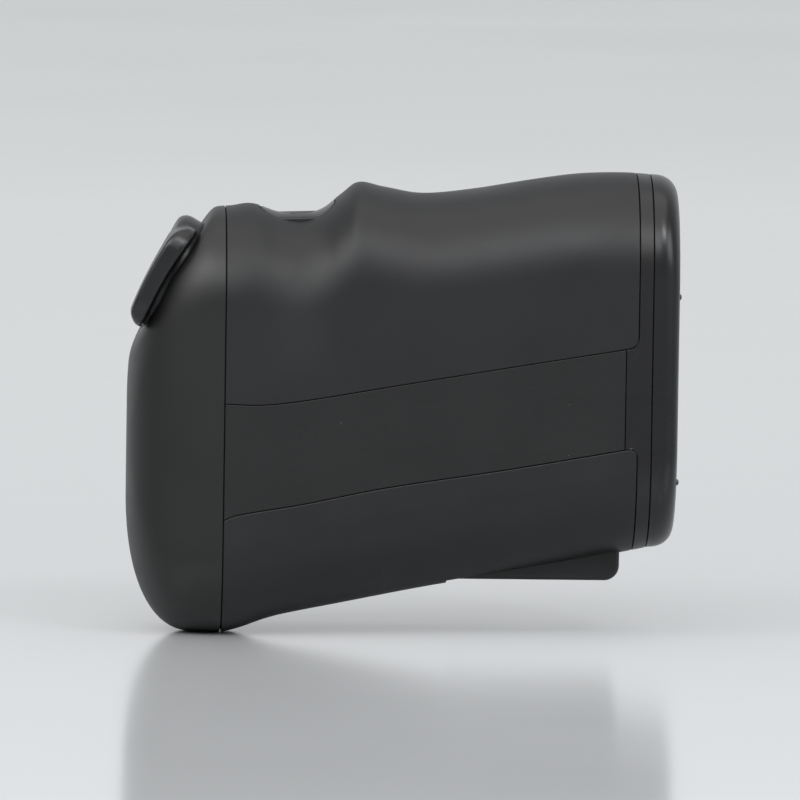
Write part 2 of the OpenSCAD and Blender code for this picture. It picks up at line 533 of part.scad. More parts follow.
// ---------- battery ----------
cell_x = 37.1 - cell_l;
module battery_cell() color([0.75, 0.73, 0.68]) in_bay() union() {
  rod(cell_x, 36.3, 0, cell_z, cell_r);
  rod(36.2, 37.1, 0, cell_z, 3.2);
}
module battery_cradle() color([0.14, 0.14, 0.15]) in_bay() difference() {
  rod(6.2, 38 - 0.1, 0, cell_z, cell_r + 0.9);
  rod(7.2, 37.5, 0, cell_z, cell_r + 0.3);
  box(9.6, 37.5, -20, 20, 5, cell_z - 1);
  box(0, 60, -20, 20, 0, cell_z - 6);
}
module contact_plus() color([0.8, 0.7, 0.4]) in_bay() rod(37.12, 37.48, 0, cell_z, 4);
module contact_spring() color([0.75, 0.72, 0.6]) in_bay() union() {
  rod(7.22, 7.5, 0, cell_z, 5);
  for (i = [0 : 2]) translate([7.8 + i * 0.95, 0, cell_z]) rotate([0, 90, 0])
    rotate_extrude() translate([4.4 - i * 0.9, 0]) circle(r = 0.32, $fn = 16);
  for (i = [0 : 1]) translate([7.5, 0, cell_z]) rotate([180 * i, 0, 0])
    translate([0, 0, 3.5 - i * 0.5]) rotate([0, 78, 0]) cylinder(h = 2.4, r = 0.3, $fn = 16);
}
pin_x = 11.1; pin_z = 12.1;
module battery_door() color([0.09, 0.09, 0.10]) in_bay() difference() {
  union() {
    difference() {
      translate([0, -bay_y, 0]) foot(10.6, 37.6, door_y, foot_z + 0.05, 1.4);
      box(5, 45, -20, 20, foot_z + 1.55, 30);
    }
    // latch housing and stiffening ribs
    box(27.2, 36.9, -5.2, 5.2, foot_z + 0.6, foot_z + 3.1);
    for (s = [-1, 1]) box(13.6, 26, s * 6.8 - 0.6, s * 6.8 + 0.6, foot_z + 1, foot_z + 2.4);
    // hinge knuckles
    for (s = [-1, 1]) translate([pin_x, s * 5 + 2.6, pin_z]) rotate([90, 0, 0]) cylinder(h = 5.2, r = 1.3);
    for (s = [-1, 1]) box(pin_x, 14.2, s * 5 - 2.6, s * 5 + 2.6, foot_z + 0.4, pin_z);
  }
  translate([pin_x, 20, pin_z]) rotate([90, 0, 0]) cylinder(h = 40, r = 0.5 + run, $fn = 32);
  // clearance behind the hinge line
  box(5, pin_x + 1.45, -2.3, 2.3, 5, 20);
  box(5, pin_x + 1.45, -20, -7.7, 5, 20);
  box(5, pin_x + 1.45, 7.7, 20, 5, 20);
  difference() {
    box(5, pin_x, -20, 20, 5, pin_z);
    translate([pin_x, 20, pin_z]) rotate([90, 0, 0]) cylinder(h = 40, r = 1.3);
  }
  // slide way of the latch, open to the outside for the thumb pad
  box(28.2, 45, -3.4, 3.4, foot_z + 1.1, foot_z + 2.75);
  box(29.2, 35.2, -2.6, 2.6, foot_z - 1, foot_z + 2);
}
module door_pin() color([0.7, 0.7, 0.72]) in_bay()
  translate([pin_x, foot_y - 0.4, pin_z]) rotate([90, 0, 0]) cylinder(h = 2 * foot_y - 0.8, r = 0.5, $fn = 32);
module door_seal() color([0.3, 0.3, 0.3]) in_bay() difference() {
  box(14.8, 37.4, -door_y + 0.5, door_y - 0.5, foot_z + 1.55 + eps, foot_z + 2.1);
  box(15.8, 36.6, -door_y + 1.1, door_y - 1.1, 0, 20);
  box(27, 40, -5.4, 5.4, 0, 20);
  for (s = [-1, 1]) box(13, 26.2, s * 6.8 - 0.7, s * 6.8 + 0.7, 0, 20);
}
module door_latch() color([0.12, 0.12, 0.13]) in_bay() union() {
  box(31.2, 37.5, -3.2, 3.2, foot_z + 1.3, foot_z + 2.6);
  box(37.4, 38.55, -2, 2, foot_z + 1.6, foot_z + 2.6);
  box(31.6, 34.8, -2.3, 2.3, foot_z + 0.1, foot_z + 1.4);
  for (i = [0 : 2]) box(32 + i * 1.0, 32.4 + i * 1.0, -2.1, 2.1, foot_z - 0.15, foot_z + 0.2);
}
module latch_spring() color([0.75, 0.75, 0.76]) in_bay() for (s = [-1, 1], i = [0 : 4])
  translate([28.5 + i * 0.6, s * 1.7, foot_z + 1.95]) rotate([0, 90, 0])
    rotate_extrude() translate([0.5, 0]) circle(r = 0.12, $fn = 16);

// ---------- buttons ----------
module fire_button() color([0.05, 0.05, 0.055]) meshed() union() {
  intersection() {
    fire_column(0, 72.3, 90);
    hull_form(even(-27, -10, 8), 0.05);
  }
  translate([fire_x, 0, 70.1]) cylinder(h = 3.4, r = 2.2, $fn = 28);
  translate([fire_x, 0, 70.9]) cylinder(h = 0.7, r = 3.6, $fn = 28);
}
module button_spring() color([0.75, 0.75, 0.76]) translate([fire_x, 0, 70.3])
  rotate_extrude() translate([3.0, 0]) circle(r = 0.22, $fn = 16);
module fire_switch() color([0.2, 0.2, 0.2]) union() {
  translate([fire_x - 3, -3, 68.3]) cube([6, 6, 0.9]);
  translate([fire_x, 0, 69.1]) cylinder(h = 0.34, r = 1.5);
}
module button_bracket() color([0.5, 0.5, 0.52]) difference() {
  union() {
    box(fire_x - 6, fire_x + 5.6, -8.6, 8.6, 67.3, 68.3 - eps);
    for (s = [-1, 1]) box(fire_x - 3, fire_x + 3, s * 8.2 - 0.4, s * 8.2 + 0.4, 55.5, 68);
    for (s = [-1, 1]) box(fire_x - 3, fire_x + 3, s * 9.9 - 2.1, s * 9.9 + 2.1, 55.42, 56.1);
    difference() {
      translate([fire_x, 0, 68]) cylinder(h = 2.0, r = 5.6);
      translate([fire_x, 0, 67]) cylinder(h = 4, r = 4.9);
    }
  }
  rod(-30, -8, 0, axis_z, 5.3);
}
module mode_button() color([0.05, 0.05, 0.055]) translate([mode_x, 17.35, mode_z]) rotate([90, 0, 0])
  union() {
    translate([0, 0, 0.4]) cylinder(h = 2.6, r = 3.2);
    cylinder(h = 0.401, r1 = 2.8, r2 = 3.2);
    translate([0, 0, 2.9]) cylinder(h = 0.8, r = 2);
    translate([0, 0, 3.35]) cylinder(h = 0.35, r = 2.9);
  }
module mode_spring() color([0.75, 0.75, 0.76]) translate([mode_x, 13.1, mode_z]) rotate([90, 0, 0])
  rotate_extrude() translate([2.6, 0]) circle(r = 0.2, $fn = 16);
module mode_switch() color([0.2, 0.2, 0.2]) union() {
  box(mode_x - 2.2, mode_x + 2.2, 12, 12.7, mode_z - 2.2, mode_z + 2.2);
  translate([mode_x, 12.98, mode_z]) rotate([90, 0, 0]) cylinder(h = 0.4, r = 1.2);
}
module lanyard_bar() color([0.6, 0.6, 0.62]) union() {
  difference() {
    box(-27, -20, 12.95, 16.2, 17, 22.2);
    box(-26.4, -20.6, 13.5, 17, 17.6, 21.6);
  }
  translate([-23.5, 15.3, 17.2]) cylinder(h = 4.8, r = 0.8, $fn = 32);
}

main_casing();
upper_grip();
lower_grip();
side_panel_right();
side_panel_left();
rear_cover();
rear_gasket();
front_bezel();
front_gasket();
view_window();
receiver_window();
emitter_window();
bezel_pins();
cover_screws();
optical_chassis();
chassis_screws();
objective_barrel();
objective_lens();
objective_ring();
prism_housing();
prism_front();
prism_rear();
reticle_display();
eyepiece_tube();
ocular_carrier();
ocular_lens();
field_lens();
dioptre_ring();
eyecup();
receiver_barrel();
receiver_lens();
detector();
detector_board();
emitter_barrel();
emitter_lens();
laser_diode();
main_board();
power_board();
board_screws();
flex_ribbon();
battery_cell();
battery_cradle();
contact_plus();
contact_spring();
battery_door();
door_pin();
door_seal();
door_latch();
latch_spring();
fire_button();
button_spring();
fire_switch();
button_bracket();
mode_button();
mode_spring();
mode_switch();
lanyard_bar();
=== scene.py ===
# Pocket laser rangefinder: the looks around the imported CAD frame.
import json
import math

import bmesh
import bpy
import numpy as np
from mathutils import Matrix, Vector


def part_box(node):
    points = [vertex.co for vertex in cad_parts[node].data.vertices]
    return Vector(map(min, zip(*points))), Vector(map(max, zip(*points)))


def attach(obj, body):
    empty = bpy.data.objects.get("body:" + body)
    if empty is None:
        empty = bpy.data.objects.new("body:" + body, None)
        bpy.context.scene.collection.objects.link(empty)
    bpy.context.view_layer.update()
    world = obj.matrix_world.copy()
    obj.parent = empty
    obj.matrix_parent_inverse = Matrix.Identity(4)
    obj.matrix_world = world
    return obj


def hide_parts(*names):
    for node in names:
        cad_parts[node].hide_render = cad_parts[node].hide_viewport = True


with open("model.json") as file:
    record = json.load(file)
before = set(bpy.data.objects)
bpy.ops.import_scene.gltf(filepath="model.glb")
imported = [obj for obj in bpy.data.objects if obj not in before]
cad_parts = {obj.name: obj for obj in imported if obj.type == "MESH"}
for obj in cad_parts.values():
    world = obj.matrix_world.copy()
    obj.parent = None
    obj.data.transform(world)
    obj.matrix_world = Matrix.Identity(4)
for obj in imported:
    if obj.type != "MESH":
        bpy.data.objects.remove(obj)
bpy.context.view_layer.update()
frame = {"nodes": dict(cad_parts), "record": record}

MM = 0.001


def box_mm(node):
    """Lowest and highest corner of a CAD node, in millimetres."""
    low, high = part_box(node)
    return np.array(low) / MM, np.array(high) / MM


# ---------- driving dimensions, in millimetres, from the frame ----------
seam_fill = 0.07                             # how far the visual edges reach into each seam
casing_x0 = box_mm("main_casing")[0][0] - seam_fill      # rear end of the casing
casing_x1 = box_mm("main_casing")[1][0] + seam_fill      # front end of its rim
cover_x1 = box_mm("rear_cover")[1][0] + seam_fill
rear_x = box_mm("rear_cover")[0][0] - 0.02
bezel_x0, front_x = box_mm("front_bezel")[0][0] - seam_fill, box_mm("front_bezel")[1][0]
grip_front_x = box_mm("upper_grip")[1][0]
panel_front_x = box_mm("side_panel_right")[1][0]
axis_z = float(np.mean([c[2] for c in box_mm("view_window")]))
receiver_z = float(np.mean([c[2] for c in box_mm("receiver_window")]))
emitter_y, emitter_z = np.mean(box_mm("emitter_window"), axis=0)[1:]
fire_lo, fire_hi = box_mm("fire_button")
fire_x = (fire_lo[0] + fire_hi[0]) / 2
mode_lo, mode_hi = box_mm("mode_button")
mode_x, mode_z = (mode_lo[0] + mode_hi[0]) / 2, (mode_lo[2] + mode_hi[2]) / 2
mode_r = 3.2                                 # radius of the mode button
fire_hx, fire_hy, fire_r = 6.5, 5.5, 3       # half length, half width and corner radius of the fire key
bar_lo, bar_hi = box_mm("lanyard_bar")
door_lo, door_hi = box_mm("battery_door")
half_w = 17.5                                # half of the body thickness
nose_x = 44.4                                # where the front edge starts to round
grip_t = 1.2                                 # thickness of the rubber and of the panels
armour_t = grip_t - 0.06                     # their visual thickness, just clear of the wall under them
section_r = 16.5                             # radius of the section's round top and bottom
section_p = 0.94                             # how square those rounds are (1 is a true circle)
eye_x, eye_tilt = -41.75, math.radians(30)   # foot point and lean of the eyepiece face

# border lines of the side view: crown, keel, and the inner borders of the two grips
CROWN = [[-31.1, 76.1], [-27.2, 76.6], [-22.5, 75.2], [-18.3, 74.7], [-14.5, 75.9],
         [-11.2, 78.5], [-8.3, 80.6], [-4, 79.9], [3, 78.8], [11.7, 79.6], [23.1, 81.5],
         [31, 82.6], [38.8, 82.9], [44.4, 82.6]]
KEEL = [[-36.8, 0], [-31, 0.1], [-28, 0.9], [-24.5, 2.2], [-21, 3.2], [-10.4, 5.4],
        [3.8, 8.3], [18.1, 10.9], [32.3, 13.5], [44.4, 16]]
UPPER = [[-32, 42.1], [-25.3, 42], [-18.2, 42.8], [-3.8, 45.3], [17.5, 49], [42, 53.1]]
LOWER = [[-32, 21.3], [-29.5, 22.3], [-17.9, 24.4], [-3.7, 27.4], [17.8, 30.9], [42, 35.2]]


def curve(knots, x):
    """Smooth curve through the knots (cubic Hermite), held level past both ends."""
    kx, kz = np.array(knots, float).T
    last = len(kx) - 1
    before, after = np.maximum(np.arange(last + 1) - 1, 0), np.minimum(np.arange(last + 1) + 1, last)
    slope = (kz[after] - kz[before]) / (kx[after] - kx[before])
    x = np.clip(x, kx[0], kx[-1])
    i = np.clip(np.searchsorted(kx, x) - 1, 0, last - 1)
    w = kx[i + 1] - kx[i]
    t = (x - kx[i]) / w
    return ((2 * t**3 - 3 * t**2 + 1) * kz[i] + (t**3 - 2 * t**2 + t) * w * slope[i]
            + (3 * t**2 - 2 * t**3) * kz[i + 1] + (t**3 - t**2) * w * slope[i + 1])


def round_off(u, p):
    """Falls from 1 to 0 as u goes from 0 to 1, along a rounded corner of power p."""
    return np.maximum(1 - np.clip(u, 0, 1) ** p, 0) ** (1 / p)


def step01(t):
    """Smooth step from 0 to 1."""
    q = np.clip(t, 0, 1)
    return q * q * (3 - 2 * q)


def nose(x):
    """How far the front edge has rounded in at x, from 0 to 1."""
    return 1 - round_off((x - nose_x) / (front_x - nose_x), 2.2)


def crown(x):
    """Height of the top line at x."""
    x = np.asarray(x, float)
    back = 41 + 35.1 * round_off((-31.1 - x) / (-31.1 - rear_x), 2.2)
    return np.where(x < -31.1, back, curve(CROWN, x) - 4 * nose(x))


def keel(x):
    """Height of the bottom line at x."""
    x = np.asarray(x, float)
    back = 26 - 26 * round_off((-36.8 - x) / (-36.8 - rear_x), 2.3)
    return np.where(x < -36.8, back, curve(KEEL, x) + 4 * nose(x))


def flank(x):
    """Half width of the body at x, before the finger scallop."""
    x = np.asarray(x, float)
    back = half_w * round_off((-26 - x) / (-26 - rear_x), 2.6)
    return np.where(x < -26, back, half_w - 0.3 * step01((x - 30) / 14) - 3.6 * nose(x))


def dip(x, z):
    """Depth of the finger scallop that runs down from the firing button."""
    return np.exp(-((x + 20) / 6.5) ** 2) * step01((z - 46) / 18)


def side_y(x, z):
    """Half width of the body at x and height z."""
    t, b = crown(x), keel(x)
    r = np.minimum(section_r, (t - b) / 2)
    q = np.where(z > t - r, (z - t + r) / r, np.where(z < b + r, (b + r - z) / r, 0))
    s = np.clip(q, 0, 1) ** (1 / section_p)
    return (flank(x) - dip(x, z)) * np.maximum(1 - s * s, 0) ** (section_p / 2)


def half_section(x):
    """Points (y, z) down the +Y half of the section at x, and the distance along it from the crown."""
    t, b = float(crown(x)), float(keel(x))
    r = min(section_r, (t - b) / 2)
    a = np.radians(np.linspace(90, 0, 260))
    arc_y, arc_z = np.cos(a) ** section_p, np.sin(a) ** section_p
    arc_y[0] = 0
    side = np.linspace(t - r, b + r, 140)[1:-1]
    z = np.concatenate([t - r + r * arc_z, side, b + r - r * arc_z[::-1]])
    y = (float(flank(x)) - dip(x, z)) * np.concatenate([arc_y, np.ones(len(side)), arc_y[::-1]])
    s = np.concatenate([[0], np.cumsum(np.hypot(np.diff(y), np.diff(z)))])
    return y, z, s


def corner_rise(x):
    """How far the rounded front corner moves a grip's border at x."""
    u = np.clip((x - grip_front_x + CORNER) / CORNER, 0, 1)
    return CORNER * (1 - np.sqrt(1 - u * u))


def border(x, up, gap):
    """Height of the upper (up 1) or lower (up -1) grip's border at x, moved away by a gap."""
    return curve(UPPER if up > 0 else LOWER, x) + up * (gap + corner_rise(x))


CORNER = 1.5                                 # radius of the grips' front corners
GRIP_GAP, PANEL_GAP = 0.05, 0.07             # how far each stays from the border line between them
RIM_GAP = 0.14                               # gap between the armour's front end and the plain rim
SEAM_EDGE, GRIP_EDGE, PANEL_EDGE = 0.14, 0.16, 0.12   # radii of the edges along the seams
DEEP = 9.0                                   # a distance that is far from any edge
EDGE = np.array([0, 0.02, 0.06, 0.11, 0.17, 0.24, 0.34, 0.5])   # rows along a rounded edge
EYE = np.array([math.cos(eye_tilt), 0, -math.sin(eye_tilt)])     # inward normal of the eyepiece face


def stations(x0, x1, step, start=True, end=True):
    """Rows from x0 to x1, close together at the ends that have a rounded edge."""
    a = x0 + (EDGE if start else EDGE[:1])
    b = x1 - (EDGE if end else EDGE[:1])[::-1]
    n = max(2, int(round((b[0] - a[-1]) / step)))
    return np.concatenate([a, np.linspace(a[-1], b[0], n + 1)[1:-1], b])


# ---------- meshes ----------
def new_object(name, points, faces):
    """Mesh object from points in millimetres."""
    mesh = bpy.data.meshes.new(name)
    mesh.from_pydata([tuple(p) for p in np.asarray(points) * MM], [], faces)
    obj = bpy.data.objects.new(name, mesh)
    bpy.context.scene.collection.objects.link(obj)
    tidy(obj)
    return obj


def tidy(obj):
    """Joins doubled points and turns all faces outwards."""
    bm = bmesh.new()
    bm.from_mesh(obj.data)
    bmesh.ops.remove_doubles(bm, verts=bm.verts, dist=1e-7)
    bmesh.ops.recalc_face_normals(bm, faces=bm.faces)
    bm.to_mesh(obj.data)
    bm.free()


def apply(obj):
    """Makes the modifiers of a piece part of its mesh."""
    graph = bpy.context.evaluated_depsgraph_get()
    mesh = bpy.data.meshes.new_from_object(obj.evaluated_get(graph))
    obj.modifiers.clear()
    obj.data = mesh


def boolean(obj, others, operation):
    """Joins, cuts or intersects obj with each of the others, which are used up."""
    for other in others:
        mod = obj.modifiers.new("cut", "BOOLEAN")
        mod.solver = "EXACT"
        mod.operation = operation
        mod.object = other
        apply(obj)
    for other in others:
        bpy.data.objects.remove(other)
    return obj


def cut(obj, *cutters):
    """Removes the cutters from obj."""
    return boolean(obj, cutters, "DIFFERENCE")


def grid_faces(m, n, loop, base=0, flip=False):
    """Faces of a grid of m rows and n columns of points."""
    cols = n if loop else n - 1
    faces = []
    for j in range(m - 1):
        for i in range(cols):
            a, b = base + j * n + i, base + j * n + (i + 1) % n
            quad = (a, b, b + n, a + n)
            faces.append(quad[::-1] if flip else quad)
    return faces


def normals(points, loop):
    """Outward unit normals of a grid of points."""
    if loop:
        wrap = np.concatenate([points[:, -2:], points, points[:, :2]], axis=1)
        dv = np.gradient(wrap, axis=1)[:, 2:-2]
    else:
        dv = np.gradient(points, axis=1)
    n = np.cross(np.gradient(points, axis=0), dv)
    n /= np.maximum(np.linalg.norm(n, axis=2, keepdims=True), 1e-12)
    middle = points.reshape(-1, 3).mean(0)
    middle[2] = 42
    middle[1] = 0
    if np.sum((points - middle) * n) < 0:
        n = -n
    return n


def edge_depth(distance, radius):
    """Depth of a rounded edge below the surface, at a distance from its border."""
    q = np.clip(radius - distance, 0, radius)
    return radius - np.sqrt(radius**2 - q**2)


def shell(name, points, distance, sink, thick, radius, loop=False):
    """Closed sheet under a grid of points: sunk by sink, with edges rounded where distance is small."""
    n = normals(points, loop)
    depth = sink + edge_depth(distance, radius)
    outer = points - depth[..., None] * n
    inner = points - thick * n
    m, c = points.shape[:2]
    k = m * c
    faces = grid_faces(m, c, loop) + grid_faces(m, c, loop, k, True)
    cols = c if loop else c - 1
    for j in (0, m - 1):
        for i in range(cols):
            a, b = j * c + i, j * c + (i + 1) % c
            faces.append((a, b, b + k, a + k))
    if not loop:
        for i in (0, c - 1):
            for j in range(m - 1):
                a, b = j * c + i, (j + 1) * c + i
                faces.append((a, b, b + k, a + k))
    return new_object(name, np.concatenate([outer.reshape(-1, 3), inner.reshape(-1, 3)]), faces)


def closed(name, points):
    """Closed solid through rings of points."""
    m, c = points.shape[:2]
    faces = grid_faces(m, c, True) + [tuple(range(c)), tuple(range((m - 1) * c, m * c))]
    return new_object(name, points.reshape(-1, 3), faces)


def lathe(name, profile, centre, axis=(1, 0, 0), n=128):
    """Turned solid; profile is a list of (distance along the axis, radius) from end to end."""
    axis = Vector(axis).normalized()
    turn = Vector((1, 0, 0)).rotation_difference(axis).to_matrix()
    angle = np.linspace(0, 2 * math.pi, n, endpoint=False)
    rings = []
    for x, r in profile:
        rr = max(r, 1e-4)
        rings.append(np.stack([np.full(n, x), rr * np.cos(angle), rr * np.sin(angle)], axis=1))
    points = np.array(rings) @ np.array(turn).T + np.array(centre)
    return closed(name, points)


def block(name, outline, y0, y1):
    """Plate across the body from a side-view outline of (x, z) points."""
    n = len(outline)
    points = [(x, y0, z) for x, z in outline] + [(x, y1, z) for x, z in outline]
    faces = [tuple(range(n)), tuple(range(n, 2 * n))]
    faces += [(i, (i + 1) % n, (i + 1) % n + n, i + n) for i in range(n)]
    return new_object(name, points, faces)


def cube(name, x0, x1, y0, y1, z0, z1):
    return block(name, [(x0, z0), (x1, z0), (x1, z1), (x0, z1)], y0, y1)


def bevel(obj, width, segments=3, angle=30):
    mod = obj.modifiers.new("edge", "BEVEL")
    mod.width = width * MM
    mod.segments = segments
    mod.limit_method = "ANGLE"
    mod.angle_limit = math.radians(angle)
    apply(obj)
    return obj


def smooth(obj, angle=32):
    obj.data.shade_smooth()
    obj.data.set_sharp_from_angle(angle=math.radians(angle))
    return obj


def outline_rr(hx, hy, r, n=16):
    """Rounded rectangle about the origin, as an array of points."""
    out = []
    for k, (sx, sy) in enumerate([(1, 1), (-1, 1), (-1, -1), (1, -1)]):
        for i in range(n + 1):
            a = math.pi / 2 * (k + i / n)
            out.append((sx * (hx - r) + r * math.cos(a), sy * (hy - r) + r * math.sin(a)))
    return np.array(out)


def fire_well():
    """Upright column with the fire key's outline, grown by the gap around it."""
    gap = 0.35
    o = outline_rr(fire_hx + gap, fire_hy + gap, fire_r + gap)
    rings = [np.c_[o + [fire_x, 0], np.full(len(o), z)] for z in (69, 90)]
    return closed("well", np.array(rings))


# ---------- armour and casing ----------
def half_rows(s_edge, count):
    """Distances from a border to the crown or keel line, fine next to the border."""
    return np.concatenate([EDGE, np.linspace(EDGE[-1], s_edge, count + 1)[1:]])


def grip(up):
    """Rubber grip over the crown (up 1) or under the keel (up -1)."""
    xs = stations(casing_x0, grip_front_x, 0.7)
    points, distance = [], []
    for x in xs:
        y, z, s = half_section(x)
        if up < 0:
            y, z, s = y[::-1], z[::-1], s[-1] - s[::-1]
        edge_z = float(border(x, up, GRIP_GAP))
        level = z if up < 0 else -z
        s_edge = np.interp(edge_z if up < 0 else -edge_z, level, s)
        e = half_rows(s_edge, 62)
        at = s_edge - e
        yy, zz = np.interp(at, s, y), np.interp(at, s, z)
        row = [(x, a, b) for a, b in zip(yy, zz)]
        row += [(x, -a, b) for a, b in zip(yy[-2::-1], zz[-2::-1])]
        v = e + float(corner_rise(x))
        xc = grip_front_x - CORNER
        near = np.minimum(v, min(x - casing_x0, grip_front_x - x))
        if x > xc:
            round_in = CORNER - np.hypot(x - xc, np.maximum(CORNER - v, 0))
            near = np.where(v < CORNER, round_in, near)
        near = np.maximum(np.minimum(near, e + 1.0), 0)
        points.append(row)
        distance.append(np.concatenate([near, near[-2::-1]]))
    return np.array(points), np.array(distance)


def band(x0, x1, side, gap, start=True, end=True, step=0.8):
    """Grid on one flank between the two grips."""
    xs = stations(x0, x1, step, start, end)
    points, distance = [], []
    for x in xs:
        y, z, s = half_section(x)
        top, low = float(border(x, 1, -gap)), float(border(x, -1, -gap))
        s0, s1 = np.interp(-top, -z, s), np.interp(-low, -z, s)
        width = s1 - s0
        e = np.concatenate([EDGE, np.linspace(EDGE[-1], width - EDGE[-1], 34)[1:-1], width - EDGE[::-1]])
        at = s0 + e
        points.append([(x, side * a, b) for a, b in zip(np.interp(at, s, y), np.interp(at, s, z))])
        near = np.minimum(e, width - e)
        xc = grip_front_x - CORNER
        if x > xc:
            v = near - float(corner_rise(x)) - gap
            out = np.hypot(x - xc, CORNER - np.minimum(v, CORNER)) - CORNER - gap
            near = np.where(v < CORNER, np.maximum(out, 0), near)
        if start:
            near = np.minimum(near, x - x0)
        if end:
            near = np.minimum(near, x1 - x)
        distance.append(near)
    return np.array(points), np.array(distance)


def ring_points(xs, half=150):
    """Full rings around the body, from the crown down the -Y side and back up."""
    rows = []
    for x in xs:
        y, z, s = half_section(x)
        at = np.linspace(0, s[-1], half + 1)
        yy, zz = np.interp(at, s, y), np.interp(at, s, z)
        near_half = [(x, -a, b) for a, b in zip(yy, zz)]
        rows.append(near_half + [(x, a, b) for a, b in zip(yy[-2:0:-1], zz[-2:0:-1])])
    return np.array(rows)


def pocket_cutter():
    """Recess around the lanyard bar."""
    return cube("pocket", bar_lo[0] - 0.1, bar_hi[0] + 0.1, bar_lo[1] - 0.05, 20,
                bar_lo[2] - 0.1, bar_hi[2] + 0.1)


def mode_cutter():
    """Round opening for the mode button."""
    return lathe("mode_hole", [(11, mode_r + 0.35), (20, mode_r + 0.35)], (mode_x, 0, mode_z), (0, 1, 0))


# the battery housing: its two ends, half width and underside, then the well that the door closes
FOOT_X0, FOOT_X1, FOOT_Y, FOOT_Z = 8.4, 39.1, 9.4, 10.25
bay_y = (door_lo[1] + door_hi[1]) / 2        # middle plane of the battery bay
well_y = (door_hi[1] - door_lo[1]) / 2 + 0.35
WELL = (8.8, FOOT_X1 - 1.2, bay_y - well_y, bay_y + well_y, FOOT_Z - 5, 20.8)


def upper_grip():
    """Upper rubber grip with the opening for the fire key."""
    obj = shell("grip_upper", *grip(1), 0, armour_t, GRIP_EDGE)
    return cut(obj, fire_well())


def lower_grip():
    """Lower rubber grip, cut away around the battery housing and the lanyard pocket."""
    obj = shell("grip_lower", *grip(-1), 0, armour_t, GRIP_EDGE)
    half = FOOT_Y + 0.15
    foot_gap = cube("foot_gap", FOOT_X0 - 0.15, FOOT_X1 + 0.15, bay_y - half, bay_y + half, -5, 25)
    return cut(obj, foot_gap, pocket_cutter())


def panel(side):
    """Side panel, sunk a little below the grips."""
    points, distance = band(casing_x0, panel_front_x, side, PANEL_GAP)
    name = "panel_right" if side < 0 else "panel_left"
    obj = shell(name, points, distance, 0.12, armour_t, PANEL_EDGE)
    return obj if side < 0 else cut(obj, mode_cutter())


def casing_rim():
    """Plain rim in front of the armour; its rear edge is left square where the side strips join it."""
    x0 = grip_front_x + RIM_GAP
    points = ring_points(stations(x0, casing_x1, 0.4))
    x, z = points[..., 0], points[..., 2]
    top, low = border(x0, 1, -PANEL_GAP), border(x0, -1, -PANEL_GAP)
    in_strip = step01(np.minimum(top - z, z - low) / 0.15 + 0.5)
    distance = np.minimum(x - x0 + in_strip, casing_x1 - x)
    return shell("casing_rim", points, distance, 0, grip_t, SEAM_EDGE, True)


def casing_strip(side):
    """Plain strip between a panel's front end and the rim."""
    x0, x1 = panel_front_x + 0.1, grip_front_x + RIM_GAP
    points, distance = band(x0, x1, side, PANEL_GAP, True, False, 0.25)
    name = "casing_strip_right" if side < 0 else "casing_strip_left"
    return shell(name, points, distance, 0, grip_t, 0.1)


def casing_core():
    """The wall under the armour, with its wells."""
    points = ring_points(stations(casing_x0, casing_x1, 1.2), 110)
    far = np.full(points.shape[:2], DEEP)
    wall = 1.9
    obj = shell("casing_core", points, far, grip_t, grip_t + wall, SEAM_EDGE, True)
    foot_room = cube("foot_room", *WELL)
    return cut(obj, fire_well(), mode_cutter(), pocket_cutter(), foot_room)


def casing_foot():
    """Battery housing under the front half."""
    r = 2.7
    turn = np.linspace(0, math.pi / 2, 9)
    arc = [(FOOT_X1 - r + r * math.sin(a), FOOT_Z + r - r * math.cos(a)) for a in turn]
    obj = block("casing_foot", [(FOOT_X0, FOOT_Z)] + arc + [(FOOT_X1, 24), (FOOT_X0, 24)],
                bay_y - FOOT_Y, bay_y + FOOT_Y)
    bevel(obj, 0.9, 5, 40)
    return cut(obj, cube("well_room", *WELL),
               cube("detent", FOOT_X1 - 2, FOOT_X1 - 0.35, bay_y - 2.3, bay_y + 2.3, 5, 13.2))


# ---------- rear cover ----------
def inside(p):
    """True where a point is within the body's smooth outer form."""
    x, y, z = p[..., 0], np.abs(p[..., 1]), p[..., 2]
    ok = (x > rear_x + 0.02) & (z < crown(x)) & (z > keel(x))
    return ok & (y < side_y(x, z))


def reach(origin, way):
    """Distance from origin along way to the body surface, by halving."""
    low, high = np.zeros(way.shape[:-1]), np.full(way.shape[:-1], 90.0)
    for _ in range(40):
        mid = (low + high) / 2
        ok = inside(origin + mid[..., None] * way)
        low, high = np.where(ok, mid, low), np.where(ok, high, mid)
    return low


def smooth_min(a, b, k):
    """The lesser of a and b, blended over a width k."""
    h = np.clip(0.5 + 0.5 * (b - a) / k, 0, 1)
    return b + (a - b) * h - k * h * (1 - h)


UP_EYE = np.array([math.sin(eye_tilt), 0, math.cos(eye_tilt)])   # direction up the eyepiece face


def lip(hit, side):
    """Height of the arched lips beside the eyepiece face, for points hit on it, side from its middle."""
    rise, fall, peak_t, start, ramp = 2.05, 0.0165, -0.8, 10.8, 3
    t = (hit - [eye_x, 0, axis_z]) @ UP_EYE
    return np.maximum(rise - fall * (t - peak_t) ** 2, 0) * step01((side - start) / ramp)


